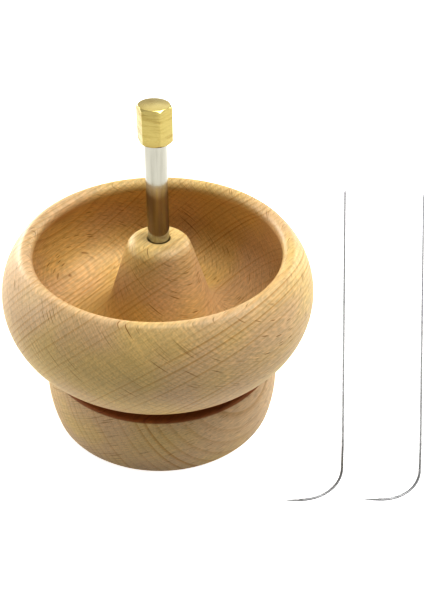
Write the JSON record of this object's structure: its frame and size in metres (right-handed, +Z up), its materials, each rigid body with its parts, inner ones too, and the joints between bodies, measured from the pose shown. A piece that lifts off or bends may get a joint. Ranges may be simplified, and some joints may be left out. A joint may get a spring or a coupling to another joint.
{
  "type": "bead spinner",
  "caption": "Hand-spun wooden bead spinner: a turned bowl with a central hub and hexagonal twirl knob, running on a ball bearing in a low base, with curved threading needles.",
  "frame": {"origin": "centre of the base's underside, on the spin axis, which is where it stands", "axes": "+Z up along the spin axis; the needles lie on the +X side with their eyes towards +Y and their points towards -X"},
  "size_m": [0.1527, 0.1896, 0.0978],
  "materials": {
    "beech_wood": "satin clear lacquer on turned beech",
    "polished_steel": "ground and polished",
    "brass": "machined, bright",
    "bearing_steel": "bright ground steel",
    "cage_nylon": "natural moulded nylon",
    "needle_wire": "bright drawn wire"
  },
  "bodies": {
    "base": {"base": "beech_wood", "bearing_outer_race": "bearing_steel", "bearing_shield_top": "bearing_steel", "bearing_shield_bottom": "bearing_steel"},
    "bearing_inner": {"bearing_inner_race": "bearing_steel"},
    "ball_cage": {"bearing_cage": "cage_nylon", "bearing_ball_1": "bearing_steel", "bearing_ball_2": "bearing_steel", "bearing_ball_3": "bearing_steel", "bearing_ball_4": "bearing_steel", "bearing_ball_5": "bearing_steel", "bearing_ball_6": "bearing_steel", "bearing_ball_7": "bearing_steel"},
    "bowl": {"bowl": "beech_wood", "spindle_rod": "polished_steel", "hex_knob": "brass", "clamp_washer": "bearing_steel", "clamp_nut": "bearing_steel", "spacer_collar": "bearing_steel"},
    "needle_1": {"needle_1": "needle_wire"},
    "needle_2": {"needle_2": "needle_wire"}
  },
  "joints": [
    {"name": "bowl_spin", "type": "hinge", "parent": "base", "child": "bearing_inner", "pos_m": [0, 0, 0.0177], "axis": [0, 0, 1], "continuous": true},
    {"name": "cage_spin", "type": "hinge", "parent": "base", "child": "ball_cage", "pos_m": [0, 0, 0.0177], "axis": [0, 0, 1], "continuous": true},
    {"name": "bowl_lift", "type": "slide", "parent": "bearing_inner", "child": "bowl", "axis": [0, 0, 1], "range_m": [0, 0.03]},
    {"name": "needle_1_lift", "type": "slide", "parent": "base", "child": "needle_1", "axis": [0, 0, 1], "range_m": [0, 0.1]},
    {"name": "needle_2_lift", "type": "slide", "parent": "base", "child": "needle_2", "axis": [0, 0, 1], "range_m": [0, 0.1]}
  ],
  "couplings": [
    {"joint": "cage_spin", "follows": "bowl_spin", "ratio": 0.3677}
  ]
}
